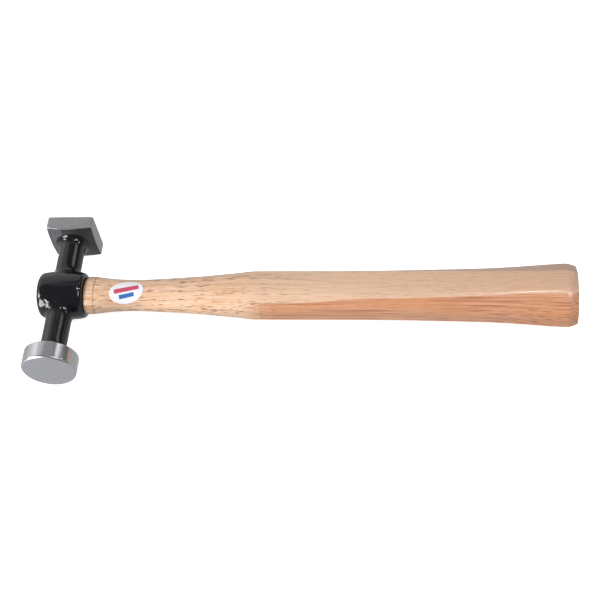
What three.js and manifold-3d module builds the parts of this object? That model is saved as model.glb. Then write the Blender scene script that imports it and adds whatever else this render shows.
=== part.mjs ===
// A dinging hammer for straightening sheet metal, lying on its side.
// One steel forging carries a round face, an eye body on two short shanks and a square face.
// A hickory handle passes through the eye, spread by one wooden wedge and two steel ones.
// Millimetres. X runs along the handle towards the butt, Y along the head towards the square
// face, and Z up from the bench that the hammer lies on.
import * as THREE from 'three';
import { mergeVertices } from 'three/addons/utils/BufferGeometryUtils.js';
import Module from 'manifold-3d';

const wasm = await Module();
wasm.setup();

// Driving dimensions. X = 0 is the head's centre line, Y = Z = 0 the handle's.
const overallLength = 334.2; // along the handle, from the eye's front to the butt
const fitGap = 0.15; // left all round the tenon and the wedges, which are driven in tight
const turnSteps = 48; // sides of a turned shape

// Eye body: a short barrel whose axis is the handle's.
const eyeFront = -13.9; // the end that the wedges are driven into
const eyeBack = 15.2; // the end that the handle leaves by
const barrelRadius = 15.6;
const barrelEndRadius = 14.6;
const barrelFrontRound = 2.6;
const barrelBackChamfer = 1.5;

// The eye: an oval hole that widens evenly from the handle's end to the wedges' end.
const eyeHalfHeightBack = 10.4;
const eyeHalfWidthBack = 7.8;
const eyeFlare = 1.1; // how much each half size grows from the back to the front

// Shanks and faces.
const shankRadius = 8.1;
const filletRadius = 4; // where a shank meets the back of its face
const flareRadius = 3; // where a shank meets the eye body
const shankRootRadius = shankRadius + flareRadius; // inside the eye body the shanks run on
const roundFaceY = -55.9;
const roundFaceRadius = 17.05;
const roundFaceFlatRadius = 16.0;
const roundRimWidth = 11.4;
const faceBevel = 0.9;
const squareFaceY = 51.4;
const squareFaceWidth = 30.0;
const squareRimWidth = 8.7; // at the corners: the turned back makes the sides deeper in the middle
const squareCornerRadius = 0.8;
const squareFaceBevel = 0.5;
const squareBlankLength = 30;
const backSlope = 0.25; // rise of both faces' turned backs, 14 degrees

// Handle.
const shoulderX = eyeBack + 0.3; // the wood swells just outside the eye
const neckEndX = 112; // the oval neck ends here
const gripStartX = 126; // and here the eight-sided grip is fully formed
const buttX = eyeFront + overallLength;
const tenonInset = 0.4; // the tenon and wedges are sawn off just inside the eye's front end
const buttRoundLength = 8; // the butt's edge is rounded off over its last few millimetres
const buttRoundDepth = 2.5;
const shoulderStep = 0.05; // the shoulder is square: the wood swells within this length
const handleSides = 40; // each quarter has ten, so that both ridges of a quarter fall on a vertex

// Wedges.
const woodWedgeDepth = 19;
const woodWedgeHalfHeight = 9.6;
const woodWedgeThickness = 3.2;
const woodWedgeTip = 1.0;
const kerfDepth = 22; // the saw cut runs a little deeper than the wedge
const steelWedgeDepth = 12;
const steelWedgeWidth = 10.5;
const steelWedgeThickness = 2.2;
const steelWedgeTip = 0.5;
const steelWedgeSpacing = 9.6;

// Label: a thin oval sticker wrapped round the neck.
const labelX = 42.3;
const labelTurn = THREE.MathUtils.degToRad(105); // from +Y towards +Z round the handle
const labelHalfLength = 11.1;
const labelHalfWidth = 8.1;
const labelTilt = THREE.MathUtils.degToRad(-13);
const labelThickness = 0.2;
const labelGap = 0.1;

// Group origin: the middle of the box that holds the hammer, on the bench.
const middleX = (-roundFaceRadius + buttX) / 2; // the round face reaches past the eye body
const middleY = (roundFaceY + squareFaceY) / 2;
const benchZ = -roundFaceRadius;

const finishes = {
  blackPaint: { color: 0x16171a, roughness: 0.18, metalness: 0.0 },
  hickory: { color: 0xdcb48c, roughness: 0.38, metalness: 0.0 },
  wedgeWood: { color: 0xb98a5c, roughness: 0.7, metalness: 0.0 },
  wedgeSteel: { color: 0x8a8b8d, roughness: 0.4, metalness: 1.0 },
  label: { color: 0xf2f2f4, roughness: 0.35, metalness: 0.0 },
};

const hammer = new THREE.Group();

function addNode(name, geometry, finish) {
  const node = new THREE.Mesh(geometry, new THREE.MeshStandardMaterial(finish));
  node.name = name;
  hammer.add(node);
}

// ---- Solids for joining and cutting ----

// A closed geometry becomes a solid once its shared vertices are merged and the empty
// triangles at the poles of a turned shape are dropped.
function toSolid(geometry) {
  const bare = geometry.clone();
  bare.deleteAttribute('normal');
  bare.deleteAttribute('uv');
  const merged = mergeVertices(bare, 1e-4);
  const index = merged.getIndex().array;
  const corners = [];
  for (let i = 0; i < index.length; i += 3) {
    const [a, b, c] = [index[i], index[i + 1], index[i + 2]];
    if (a !== b && b !== c && c !== a) corners.push(a, b, c);
  }
  return new wasm.Manifold(new wasm.Mesh({
    numProp: 3,
    vertProperties: new Float32Array(merged.getAttribute('position').array),
    triVerts: new Uint32Array(corners),
  }));
}

function toGeometry(solid) {
  const mesh = solid.getMesh();
  const geometry = new THREE.BufferGeometry();
  geometry.setAttribute('position', new THREE.BufferAttribute(mesh.vertProperties, 3));
  geometry.setIndex(new THREE.BufferAttribute(mesh.triVerts, 1));
  return geometry;
}

// Profile points on an arc about a centre, from one direction to another.
function arc(centreRadius, centreY, radius, fromDegrees, toDegrees, steps) {
  const points = [];
  for (let i = 0; i <= steps; i++) {
    const angle = THREE.MathUtils.degToRad(fromDegrees + ((toDegrees - fromDegrees) * i) / steps);
    points.push([centreRadius + radius * Math.cos(angle), centreY + radius * Math.sin(angle)]);
  }
  return points;
}

// Turned about Y from [radius, y] pairs that run from the low end to the high end.
function turned(pairs) {
  return new THREE.LatheGeometry(pairs.map(([r, y]) => new THREE.Vector2(r, y)), turnSteps);
}

// A prism along Z with its outline in X and Y, centred on Z = 0.
function prism(shape, depth, curveSegments = 4) {
  const geometry = new THREE.ExtrudeGeometry(shape, { depth, bevelEnabled: false, curveSegments });
  return geometry.translate(0, 0, -depth / 2);
}

// ---- Handle sections ----

// Each station is [x, half height along Y, half thickness along Z, squareness of the oval].
// The neck is pinched in behind the head and swells evenly to the grip.
const neckStations = [
  [shoulderX, 12.2, 9.8, 2.0],
  [18, 12.7, 10.2, 2.0],
  [23, 12.4, 9.9, 2.0],
  [28, 11.7, 9.4, 2.0],
  [35, 11.0, 8.8, 2.0],
  [47, 10.5, 8.4, 2.0],
  [62, 11.1, 8.8, 2.05],
  [86, 12.3, 9.8, 2.2],
  [neckEndX, 14.4, 11.1, 2.45],
  [gripStartX, 15.4, 11.5, 2.6],
];

// Each station is [x, crown, ridge y, ridge z, side y, side z]: the height of the crowned flat
// at its middle, the ridge where the chamfer leaves it, and the ridge where the side begins.
const gripStations = [
  [neckEndX, 11.4, 12.6, 8.4, 14.9, 5.0],
  [150, 11.4, 12.5, 8.6, 14.9, 5.1],
  [188, 11.8, 10.4, 11.0, 14.8, 5.2],
  [230, 12.6, 9.8, 11.9, 15.5, 5.2],
  [270, 13.7, 8.8, 13.3, 16.6, 5.3],
  [300, 15.0, 8.1, 14.6, 18.8, 5.4],
  [312, 15.4, 8.0, 15.0, 19.8, 5.5],
  [buttX, 15.4, 8.0, 15.0, 19.8, 5.5],
];

// Smooth steps between stations, with no overshoot.
function between(stations, x) {
  const last = stations.length - 1;
  const clamped = Math.min(Math.max(x, stations[0][0]), stations[last][0]);
  let i = 0;
  while (i < last - 1 && clamped > stations[i + 1][0]) i++;
  const [here, next] = [stations[i], stations[i + 1]];
  const before = stations[Math.max(i - 1, 0)];
  const after = stations[Math.min(i + 2, last)];
  const span = next[0] - here[0];
  const t = (clamped - here[0]) / span;
  return here.slice(1).map((value, k) => {
    const slope = (a, b) => (b[0] === a[0] ? 0 : (b[k + 1] - a[k + 1]) / (b[0] - a[0]));
    const chord = slope(here, next);
    const startSlope = gentle(slope(before, here), chord);
    const endSlope = gentle(chord, slope(next, after));
    return value * (1 + 2 * t) * (1 - t) ** 2 + next[k + 1] * t * t * (3 - 2 * t)
      + span * (startSlope * t * (1 - t) ** 2 - endSlope * t * t * (1 - t));
  });
}

// The harmonic mean of two slopes, or level where they disagree in sign.
function gentle(a, b) {
  return a * b > 0 ? (2 * a * b) / (a + b) : 0;
}

function ovalPoint(halfY, halfZ, squareness, angle) {
  const [c, s] = [Math.cos(angle), Math.sin(angle)];
  return [
    Math.sign(c) * halfY * Math.abs(c) ** (2 / squareness),
    Math.sign(s) * halfZ * Math.abs(s) ** (2 / squareness),
  ];
}

// One quarter of the eight-sided section, walked from the side (+Y) up to the crown (+Z).
// Of the quarter's steps, the first fifth is the side, two fifths the chamfer, the rest the crown.
function gripQuarter([crown, ridgeY, ridgeZ, sideY, sideZ], t) {
  if (t <= 0.2) return [sideY, sideZ * (t / 0.2)];
  if (t <= 0.6) {
    const u = (t - 0.2) / 0.4;
    return [sideY + (ridgeY - sideY) * u, sideZ + (ridgeZ - sideZ) * u];
  }
  const y = ridgeY * (1 - (t - 0.6) / 0.4);
  return [y, crown - (crown - ridgeZ) * (y / ridgeY) ** 2];
}

function gripPoint(values, angle) {
  const [c, s] = [Math.cos(angle), Math.sin(angle)];
  const quarterTurn = Math.atan2(Math.abs(s), Math.abs(c)) / (Math.PI / 2);
  const [y, z] = gripQuarter(values, quarterTurn);
  return [Math.sign(c) * y, Math.sign(s) * z];
}

// Half sizes of the eye at x: straight sides, widest at the front where the wedges go in.
function eyeHalf(x) {
  const t = (eyeBack - x) / (eyeBack - eyeFront);
  return [eyeHalfHeightBack + eyeFlare * t, eyeHalfWidthBack + eyeFlare * t];
}

// The handle's section at x, as a point at one angle round it.
function handlePoint(x, angle) {
  if (x < shoulderX) {
    const [halfY, halfZ] = eyeHalf(x);
    return ovalPoint(halfY - fitGap, halfZ - fitGap, 2, angle);
  }
  const neck = ovalPoint(...between(neckStations, x), angle);
  if (x <= neckEndX) return neck;
  const grip = gripPoint(between(gripStations, x), angle);
  const t = THREE.MathUtils.smoothstep(x, neckEndX, gripStartX);
  const inset = buttInset(x);
  const y = neck[0] + (grip[0] - neck[0]) * t;
  const z = neck[1] + (grip[1] - neck[1]) * t;
  const size = Math.hypot(y, z);
  return [y * (1 - inset / size), z * (1 - inset / size)];
}

// How far the butt's rounding has drawn the surface in at x.
function buttInset(x) {
  const t = Math.max(0, (x - (buttX - buttRoundLength)) / buttRoundLength);
  const fullness = 0.94; // the arc stops short of the end face, which it meets at a soft edge
  return buttRoundDepth * (1 - Math.sqrt(1 - fullness * t * t));
}

// ---- Head ----

// A lathe turns about Y, so the barrel is turned there and laid along X.
function eyeBody() {
  const from = eyeFront + barrelFrontRound;
  const to = eyeBack - barrelBackChamfer;
  const roundCentre = barrelEndRadius - barrelFrontRound;
  const profile = [[0, eyeFront], ...arc(roundCentre, from, barrelFrontRound, 270, 360, 4)];
  const steps = 10;
  for (let i = 1; i <= steps; i++) {
    const u = -1 + (2 * i) / steps;
    const r = barrelRadius - (barrelRadius - barrelEndRadius) * u * u;
    profile.push([r, from + ((to - from) * i) / steps]);
  }
  profile.push([barrelEndRadius - barrelBackChamfer, eyeBack], [0, eyeBack]);
  return toSolid(turned(profile).rotateZ(-Math.PI / 2));
}

function eyeHole() {
  const overrun = 1; // past both ends of the barrel
  const length = eyeBack - eyeFront + 2 * overrun;
  const geometry = new THREE.CylinderGeometry(1, 1, length, handleSides, 1);
  geometry.rotateZ(-Math.PI / 2).translate((eyeFront + eyeBack) / 2, 0, 0);
  reshape(geometry, (x, angle) => {
    const [halfY, halfZ] = eyeHalf(x);
    return ovalPoint(halfY, halfZ, 2, angle);
  });
  return toSolid(geometry);
}

// Moves every vertex of a tube of unit radius along X onto a section. The middles of its two
// caps stay on the axis.
function reshape(geometry, sectionAt) {
  const position = geometry.getAttribute('position');
  for (let i = 0; i < position.count; i++) {
    const [x, y, z] = [position.getX(i), position.getY(i), position.getZ(i)];
    const onAxis = Math.hypot(y, z) < 0.5;
    const [newY, newZ] = onAxis ? [0, 0] : sectionAt(x, Math.atan2(z, y));
    position.setXYZ(i, x, newY, newZ);
  }
}

// The back of a face: a shallow cone from its rim, with a fillet down to the shank. The pairs
// run inwards; direction is +1 for the face on the low side and -1 for the one on the high side.
function backPairs(rimRadius, rimY, direction) {
  const slope = Math.atan(backSlope);
  const filletCentre = shankRadius + filletRadius;
  const coneEndRadius = filletCentre - filletRadius * Math.sin(slope);
  const coneEndY = rimY + direction * backSlope * (rimRadius - coneEndRadius);
  const filletCentreY = coneEndY + direction * filletRadius * Math.cos(slope);
  const startDegrees = 270 - THREE.MathUtils.radToDeg(slope);
  const fillet = arc(filletCentre, 0, filletRadius, startDegrees, 180, 5);
  return [[rimRadius, rimY], ...fillet.map(([r, y]) => [r, filletCentreY + direction * y])];
}

// The forging swells where a shank runs into the barrel. The pairs run towards the handle.
function barrelFlare(direction) {
  const startY = barrelRadius + flareRadius;
  const curve = arc(shankRadius + flareRadius, 0, flareRadius, 180, 125, 4);
  return curve.map(([r, y]) => [r, direction * (startY - y)]);
}

function roundFaceAndShank() {
  return toSolid(turned([
    [0, roundFaceY],
    [roundFaceFlatRadius, roundFaceY],
    [(roundFaceFlatRadius + 2 * roundFaceRadius) / 3, roundFaceY + faceBevel / 3],
    [roundFaceRadius, roundFaceY + faceBevel],
    ...backPairs(roundFaceRadius, roundFaceY + roundRimWidth, 1),
    ...barrelFlare(-1),
    [shankRootRadius, 0],
    [0, 0],
  ]));
}

function squareFaceAndShank() {
  const cornerRadius = (squareFaceWidth / 2) * Math.SQRT2;
  const rimBackY = squareFaceY - squareRimWidth;
  const shank = toSolid(turned([
    [0, 0],
    [shankRootRadius, 0],
    ...barrelFlare(1).reverse(),
    [shankRadius, rimBackY],
    [0, rimBackY],
  ]));
  const back = backPairs(cornerRadius, rimBackY, -1).reverse();
  const turnedFace = toSolid(turned([
    [0, back[0][1]],
    ...back,
    [cornerRadius, squareFaceY],
    [0, squareFaceY],
  ]));
  return shank.add(turnedFace.intersect(squareBlank()));
}

// The square that the turned face is ground down to, with its face edge bevelled.
function squareBlank() {
  const [half, corner] = [squareFaceWidth / 2, squareCornerRadius];
  const outline = new THREE.Shape();
  outline.moveTo(half - corner, -half);
  outline.absarc(half - corner, -half + corner, corner, -Math.PI / 2, 0, false);
  outline.absarc(half - corner, half - corner, corner, 0, Math.PI / 2, false);
  outline.absarc(-half + corner, half - corner, corner, Math.PI / 2, Math.PI, false);
  outline.absarc(-half + corner, -half + corner, corner, Math.PI, 1.5 * Math.PI, false);
  const geometry = new THREE.ExtrudeGeometry(outline, {
    depth: squareBlankLength, curveSegments: 3, bevelEnabled: true, bevelSegments: 1,
    bevelThickness: squareFaceBevel, bevelSize: squareFaceBevel, bevelOffset: -squareFaceBevel,
  });
  geometry.rotateX(-Math.PI / 2);
  return toSolid(geometry.translate(0, squareFaceY - squareBlankLength - squareFaceBevel, 0));
}

const head = eyeBody().add(roundFaceAndShank()).add(squareFaceAndShank()).subtract(eyeHole());

// ---- Handle and wedges ----

const tenonX = eyeFront + tenonInset;

// Each run of rings is [from, to, how many]: they lie closer where the shape changes fast, and
// two of them make the square shoulder.
const ringRuns = [
  [tenonX, shoulderX - shoulderStep, 3],
  [shoulderX - shoulderStep, shoulderX, 1],
  [shoulderX, 21, 4],
  [21, 60, 6],
  [60, neckEndX, 5],
  [neckEndX, gripStartX, 5],
  [gripStartX, buttX - buttRoundLength, 13],
  [buttX - buttRoundLength, buttX, 6],
];

function ringPlaces() {
  const places = [];
  for (const [from, to, count] of ringRuns) {
    for (let i = 0; i < count; i++) places.push(from + ((to - from) * i) / count);
  }
  places.push(buttX);
  return places;
}

function handleBlank() {
  const places = ringPlaces();
  const steps = places.length - 1;
  const geometry = new THREE.CylinderGeometry(1, 1, steps, handleSides, steps);
  geometry.rotateZ(-Math.PI / 2);
  const position = geometry.getAttribute('position');
  for (let i = 0; i < position.count; i++) {
    position.setX(i, places[Math.round(position.getX(i) + steps / 2)]);
  }
  reshape(geometry, handlePoint);
  return toSolid(geometry);
}

// A wedge lying in the XY plane, its head at the sawn end and its tip pointing down the handle.
function wedgeGeometry(halfHead, halfTip, depth, width, overrun = 0) {
  const shape = new THREE.Shape();
  shape.moveTo(tenonX - overrun, -halfHead);
  shape.lineTo(tenonX + depth, -halfTip);
  shape.lineTo(tenonX + depth, halfTip);
  shape.lineTo(tenonX - overrun, halfHead);
  shape.closePath();
  return prism(shape, width);
}

// The wooden wedge is thin across Z and long across Y, so it is turned on its side.
function woodWedgeSolid(grow, depth, width, overrun) {
  const [head, tip] = [woodWedgeThickness / 2 + grow, woodWedgeTip / 2 + grow];
  return toSolid(wedgeGeometry(head, tip, depth, width, overrun).rotateX(Math.PI / 2));
}

function steelWedgeSolid(y, grow, overrun) {
  const [head, tip] = [steelWedgeThickness / 2 + grow, steelWedgeTip / 2 + grow];
  const width = steelWedgeWidth + 2 * grow;
  const geometry = wedgeGeometry(head, tip, steelWedgeDepth + grow, width, overrun);
  return toSolid(geometry.translate(0, y, 0));
}

const steelWedgeYs = [steelWedgeSpacing / 2, -steelWedgeSpacing / 2];
const sawOverrun = 1; // cuts begin just outside the wood
const kerf = woodWedgeSolid(fitGap, kerfDepth, 3 * woodWedgeHalfHeight, sawOverrun);
let handle = handleBlank().subtract(kerf);
let woodWedge = woodWedgeSolid(0, woodWedgeDepth, 2 * woodWedgeHalfHeight, 0);
for (const y of steelWedgeYs) {
  const slot = steelWedgeSolid(y, fitGap, sawOverrun);
  handle = handle.subtract(slot);
  woodWedge = woodWedge.subtract(slot);
}

// ---- Label ----

// A flat round disc in rings, whose points are stretched to an oval and wrapped round the neck.
function labelGeometry() {
  const rings = [0, 0.25, 0.5, 0.75, 1];
  const under = rings.map((r) => new THREE.Vector2(r, -labelThickness / 2));
  const over = rings.map((r) => new THREE.Vector2(r, labelThickness / 2)).reverse();
  const geometry = new THREE.LatheGeometry([...under, ...over], 32);
  const position = geometry.getAttribute('position');
  for (let i = 0; i < position.count; i++) {
    const along = position.getX(i) * labelHalfLength;
    const across = position.getZ(i) * labelHalfWidth;
    const x = labelX + along * Math.cos(labelTilt) - across * Math.sin(labelTilt);
    const arcLength = along * Math.sin(labelTilt) + across * Math.cos(labelTilt);
    const height = labelGap + position.getY(i) + labelThickness / 2;
    const [y, z] = neckSurface(x, arcLength, height);
    position.setXYZ(i, x, y, z);
  }
  return toGeometry(toSolid(geometry));
}

// Walks round the neck's section from the label's middle, then stands off it.
function neckSurface(x, arcLength, height) {
  const [steps, smallTurn] = [24, 0.001];
  let angle = labelTurn;
  let [y, z] = handlePoint(x, angle);
  const stepLength = Math.abs(arcLength) / steps;
  const direction = arcLength < 0 ? -1 : 1;
  for (let i = 0; i < steps; i++) {
    const [aheadY, aheadZ] = handlePoint(x, angle + smallTurn * direction);
    const speed = Math.hypot(aheadY - y, aheadZ - z) / smallTurn;
    angle += (direction * stepLength) / speed;
    [y, z] = handlePoint(x, angle);
  }
  const [aheadY, aheadZ] = handlePoint(x, angle + smallTurn);
  const length = Math.hypot(aheadY - y, aheadZ - z);
  return [y + (height * (aheadZ - z)) / length, z - (height * (aheadY - y)) / length];
}

addNode('hammer_head', toGeometry(head), finishes.blackPaint);
addNode('handle', toGeometry(handle), finishes.hickory);
addNode('wood_wedge', toGeometry(woodWedge), finishes.wedgeWood);
steelWedgeYs.forEach((y, i) => {
  addNode(`steel_wedge_${i + 1}`, toGeometry(steelWedgeSolid(y, 0, 0)), finishes.wedgeSteel);
});
addNode('label', labelGeometry(), finishes.label);

hammer.position.set(-middleX, -middleY, -benchZ);
hammer.updateMatrixWorld(true);

export default hammer;
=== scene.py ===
# %% [markdown]
# A dinging hammer, used to straighten sheet metal. Its head is one steel forging: a round face and
# a square face on short shanks, either side of the eye that a hickory handle passes through. The
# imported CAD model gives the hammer's place and outer sizes, so it is loaded first. The head, the
# handle and the sticker are then modelled again with the fine surface that they have in the hand.

# %% Load the frame
import math

import bmesh
import bpy
from mathutils import Matrix, Vector


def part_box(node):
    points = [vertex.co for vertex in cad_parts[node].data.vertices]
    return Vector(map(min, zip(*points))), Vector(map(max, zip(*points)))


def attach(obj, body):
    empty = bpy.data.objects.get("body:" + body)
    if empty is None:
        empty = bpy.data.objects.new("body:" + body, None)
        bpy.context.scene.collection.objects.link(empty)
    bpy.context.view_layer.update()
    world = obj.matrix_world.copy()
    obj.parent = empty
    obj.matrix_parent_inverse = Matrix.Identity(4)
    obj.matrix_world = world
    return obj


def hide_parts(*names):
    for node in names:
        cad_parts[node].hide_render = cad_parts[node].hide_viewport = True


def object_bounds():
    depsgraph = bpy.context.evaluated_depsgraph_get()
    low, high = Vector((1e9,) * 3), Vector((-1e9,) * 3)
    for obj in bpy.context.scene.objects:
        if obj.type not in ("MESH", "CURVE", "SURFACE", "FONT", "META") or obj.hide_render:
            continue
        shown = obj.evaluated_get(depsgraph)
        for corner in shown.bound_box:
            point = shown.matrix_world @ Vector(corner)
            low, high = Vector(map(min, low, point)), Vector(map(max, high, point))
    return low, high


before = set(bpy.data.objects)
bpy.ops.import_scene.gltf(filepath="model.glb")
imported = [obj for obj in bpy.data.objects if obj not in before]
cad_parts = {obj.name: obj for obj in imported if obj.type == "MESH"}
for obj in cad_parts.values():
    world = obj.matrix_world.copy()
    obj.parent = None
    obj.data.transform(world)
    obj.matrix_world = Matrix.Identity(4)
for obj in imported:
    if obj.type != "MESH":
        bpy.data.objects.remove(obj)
cad_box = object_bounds()
print("nodes:", sorted(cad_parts))

# %% [markdown]
# The hammer has its own axes: X along the handle towards the butt, Y along the head towards the
# square face, Z up. Its zero is where the head's centre line crosses the handle's. The head's box
# is centred there along X, and the handle's box along Y and Z, so their middles find it. Everything
# is modelled in millimetres about that zero, because the sizes are easy to read, and each piece is
# moved into place when it is finished.

# %% The hammer's zero, and its far ends
def middle(node, axis):
    low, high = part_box(node)
    return (low[axis] + high[axis]) / 2


X, Y, Z = 0, 1, 2
LOW, HIGH = 0, 1
MM_PER_METRE = 1000
zero = Vector((middle("hammer_head", X), middle("handle", Y), middle("handle", Z)))
to_frame = Matrix.Translation(zero) @ Matrix.Scale(1 / MM_PER_METRE, 4)


def edge_of(node, end, axis):
    """How far one end of a node's box is from the zero, in millimetres."""
    return (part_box(node)[end][axis] - zero[axis]) * MM_PER_METRE


butt_x = edge_of("handle", HIGH, X)
tenon_x = edge_of("handle", LOW, X)
round_face_y = edge_of("hammer_head", LOW, Y)
square_face_y = edge_of("hammer_head", HIGH, Y)
round_face_radius = edge_of("hammer_head", HIGH, Z)
print("zero", tuple(round(c, 5) for c in zero), "butt at", round(butt_x, 2),
      "faces at", round(round_face_y, 2), round(square_face_y, 2))

# %% [markdown]
# Most of the hammer is rings. A circle is created, and its edges are extruded again and again; each
# new ring is then laid on the section that the piece has there. Every vertex keeps the number of
# its place round the ring in a layer, which extruding copies, so a section only has to say where
# vertex number k goes.

# %% Rings
def new_mesh():
    bm = bmesh.new()
    bm.verts.layers.int.new("place")
    return bm


def lay(bm, verts, section):
    place = bm.verts.layers.int["place"]
    for v in verts:
        v.co = section(v[place])


def first_ring(bm, sides, section):
    verts = bmesh.ops.create_circle(bm, segments=sides, radius=1)["verts"]
    place = bm.verts.layers.int["place"]
    for v in verts:
        v[place] = round(math.atan2(v.co.y, v.co.x) / (2 * math.pi / sides)) % sides
    lay(bm, verts, section)
    return list({e for v in verts for e in v.link_edges})


def next_ring(bm, edges, section):
    made = bmesh.ops.extrude_edge_only(bm, edges=edges)["geom"]
    verts = {g for g in made if isinstance(g, bmesh.types.BMVert)}
    lay(bm, verts, section)
    return [g for g in made if isinstance(g, bmesh.types.BMEdge) and set(g.verts) <= verts]


def close_ring(bm, edges):
    bmesh.ops.contextual_create(bm, geom=edges)

# %% [markdown]
# Every piece is finished in the same way. Its faces are turned outwards, its millimetres become
# metres in the frame, and it gets its materials. A Subdivision Surface modifier then rounds the
# rings, with one level for the viewport and the render, so that every view and every export shows
# the same shape. Nothing on this hammer moves, so each piece rides on the one body, root.

# %% Finishing a piece
def finish_piece(bm, name, materials, levels):
    bmesh.ops.recalc_face_normals(bm, faces=bm.faces)
    bmesh.ops.transform(bm, matrix=to_frame, verts=bm.verts)
    for face in bm.faces:
        face.smooth = True
    mesh = bpy.data.meshes.new(name)
    bm.to_mesh(mesh)
    bm.free()
    for material in materials:
        mesh.materials.append(material)
    piece = bpy.data.objects.new(name, mesh)
    bpy.context.scene.collection.objects.link(piece)
    fine = piece.modifiers.new("fine", "SUBSURF")
    fine.levels = fine.render_levels = levels
    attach(piece, "root")
    print(name, "has", len(mesh.polygons), "faces before subdivision")
    return piece

# %% [markdown]
# Finishes come before the pieces. A material here is a small tree of nodes, so a helper adds one
# node, sets it and links its inputs in one call. Patterns read Object coordinates, which are metres
# in the CAD's frame, so a scale of 1000 repeats about once a millimetre. A low scale along one
# axis and a high one across it draws a pattern out into fibres or scratches.

# %% Node helper
def new_material(name):
    material = bpy.data.materials.new(name)
    material.use_nodes = True
    tree = material.node_tree
    print("material", name)
    return material, tree, tree.nodes["Principled BSDF"]


def node(tree, kind, inputs=(), **settings):
    made = tree.nodes.new("ShaderNode" + kind)
    for key, value in settings.items():
        setattr(made, key, value)
    for key, value in dict(inputs).items():
        if isinstance(value, bpy.types.NodeSocket):
            tree.links.new(value, made.inputs[key])
        else:
            made.inputs[key].default_value = value
    return made

# %% [markdown]
# A few more helpers make the patterns readable. One gives coordinates about the hammer's zero,
# stretched along each axis, and the others are noise on those coordinates, a range turned into
# another, one sum, a mix of two colours, and a bump. With them a finish reads as a short recipe.

# %% Pattern helpers
def centred(tree, scale):
    """Object coordinates about the hammer's zero, stretched by scale."""
    coordinates = node(tree, "TexCoord")
    about_zero = node(tree, "VectorMath", {0: coordinates.outputs["Object"], 1: zero},
                      operation="SUBTRACT")
    return node(tree, "VectorMath", {0: about_zero.outputs[0], 1: scale},
                operation="MULTIPLY").outputs[0]


def noise(tree, scale, detail=2.0, roughness=0.5):
    return node(tree, "TexNoise", {"Vector": centred(tree, scale), "Scale": 1.0,
                                   "Detail": detail, "Roughness": roughness})


def remap(tree, value, low, high, to_low=0.0, to_high=1.0):
    """Turn the range low to high into to_low to to_high, and hold it there outside."""
    return node(tree, "MapRange", {"Value": value, "From Min": low, "From Max": high,
                                   "To Min": to_low, "To Max": to_high}).outputs["Result"]


def maths(tree, operation, a, b=0.0):
    return node(tree, "Math", {0: a, 1: b}, operation=operation).outputs[0]


FACTOR_INPUT, COLOUR_INPUTS, COLOUR_OUTPUT = 0, (6, 7), 2  # a Mix node's sockets for colour


def mix_colour(tree, factor, a, b):
    made = node(tree, "Mix", {FACTOR_INPUT: factor}, data_type="RGBA")
    for index, value in zip(COLOUR_INPUTS, (a, b)):
        if isinstance(value, bpy.types.NodeSocket):
            tree.links.new(value, made.inputs[index])
        else:
            made.inputs[index].default_value = (*value, 1.0)
    return made.outputs[COLOUR_OUTPUT]


def bump(tree, height, distance, under=None):
    """A bump of the given depth in metres, on top of the bump given as under."""
    inputs = {"Height": height, "Distance": distance, "Strength": 1.0}
    if under is not None:
        inputs["Normal"] = under
    return node(tree, "Bump", inputs).outputs["Normal"]


def places_in_mm(tree):
    """X, Y and Z about the hammer's zero, in millimetres."""
    return node(tree, "SeparateXYZ", {0: centred(tree, (MM_PER_METRE,) * 3)}).outputs

# %% [markdown]
# The forging is dipped in black gloss paint. Paint on a forging is never optically flat: it has a
# fine orange peel, and under it the hammered steel waves by a fraction of a millimetre. Both are
# bumps. They break up the reflections of the lamps, which is most of what the eye reads as wet
# black paint. On the barrel's upper side, beside the round face's shank, the forging is lumpier: a
# stronger bump is multiplied by a mask that fades with the distance from that place.

# %% Black gloss paint
paint, tree, bsdf = new_material("black_gloss_paint")
bsdf.inputs["Base Color"].default_value = (0.0065, 0.007, 0.0085, 1)
peel = noise(tree, (900, 900, 900), detail=1.0).outputs["Fac"]
waves = noise(tree, (90, 90, 90), detail=1.0).outputs["Fac"]
lumps = noise(tree, (260, 260, 260), detail=1.0, roughness=0.4).outputs["Fac"]
smears = noise(tree, (160, 160, 160), detail=3.0).outputs["Fac"]
lump_centre, lump_core, lump_reach = (-8.8, -11.4, 8.6), 3.5, 8.0
from_lumps = node(tree, "VectorMath", {0: centred(tree, (MM_PER_METRE,) * 3), 1: lump_centre},
                  operation="DISTANCE").outputs["Value"]
lumpy = maths(tree, "MULTIPLY", lumps, remap(tree, from_lumps, lump_reach, lump_core))
waved = bump(tree, waves, 0.00018)
waved = bump(tree, lumpy, 0.00055, under=waved)
tree.links.new(bump(tree, peel, 0.00002, under=waved), bsdf.inputs["Normal"])
tree.links.new(remap(tree, smears, 0.3, 0.7, 0.09, 0.17), bsdf.inputs["Roughness"])

# %% [markdown]
# After painting, the working ends are ground bare. A grinding belt leaves fine parallel scratches,
# so each ground surface is bare metal with a noise that is stretched along its scratches: round the
# rim of the round face, along the sides of the square one, and in every direction on the faces
# themselves, which are finished on a wheel. One function makes them all, from the scale of the
# scratches, their depth in metres, and how far they vary the colour and the roughness.

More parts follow.
